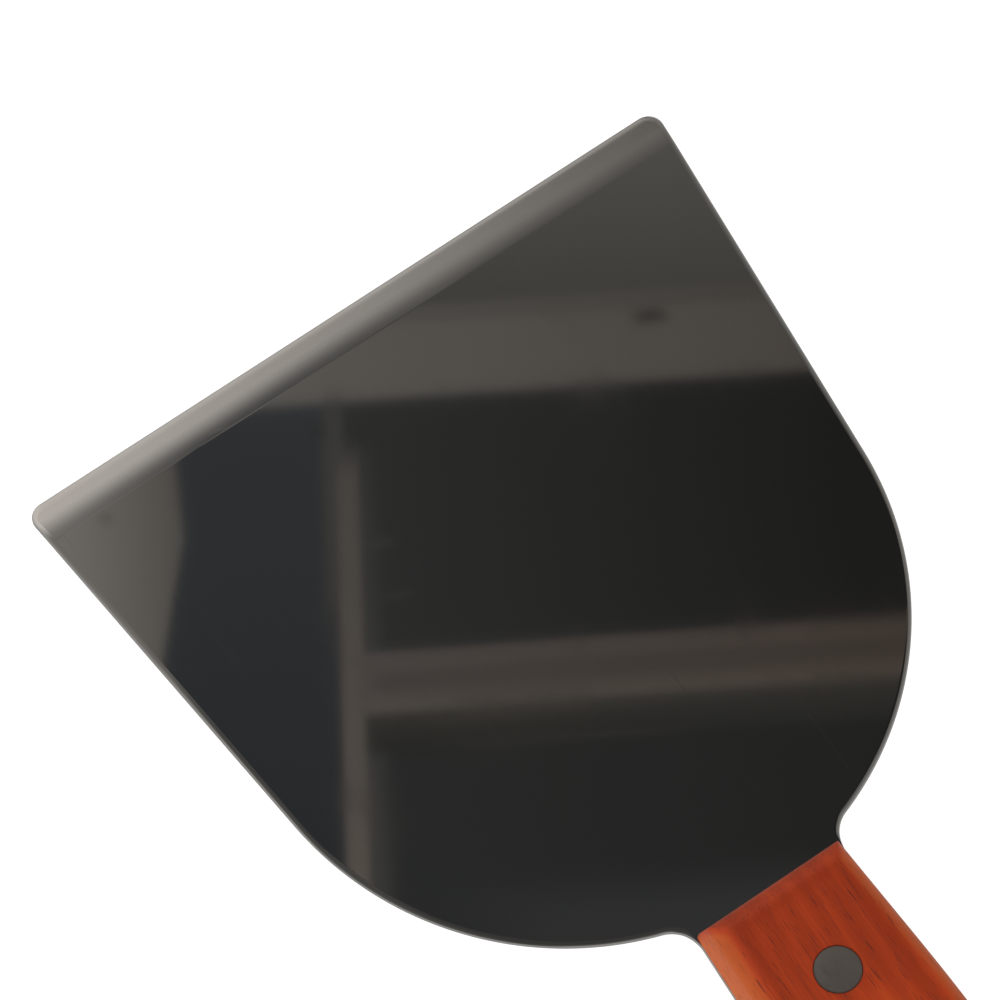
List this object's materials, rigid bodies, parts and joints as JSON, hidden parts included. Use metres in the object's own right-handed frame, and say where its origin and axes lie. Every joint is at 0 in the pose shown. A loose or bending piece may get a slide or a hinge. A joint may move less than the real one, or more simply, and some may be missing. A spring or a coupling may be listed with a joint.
{
  "type": "taping knife",
  "caption": "Stiff taping knife: polished steel blade with a round back and a bevelled straight edge, full tang, riveted hardwood scales and a hang hole.",
  "frame": {"origin": "under the middle of the knife, level with the lower scale's flat outer face", "axes": "+X along the knife from the butt to the working edge, +Y across the blade, +Z normal to the blade, out of its bevelled face"},
  "size_m": [0.24, 0.1264, 0.018],
  "materials": {
    "blade_steel": "mirror-polished stainless steel",
    "scale_wood": "reddish-orange stained hardwood, satin lacquer",
    "rivet_steel": "fine-ground stainless steel"
  },
  "bodies": {
    "root": {"blade": "blade_steel", "upper_scale": "scale_wood", "lower_scale": "scale_wood", "front_rivet_male": "rivet_steel", "front_rivet_female": "rivet_steel", "middle_rivet_male": "rivet_steel", "middle_rivet_female": "rivet_steel", "rear_rivet_male": "rivet_steel", "rear_rivet_female": "rivet_steel"}
  },
  "joints": []
}
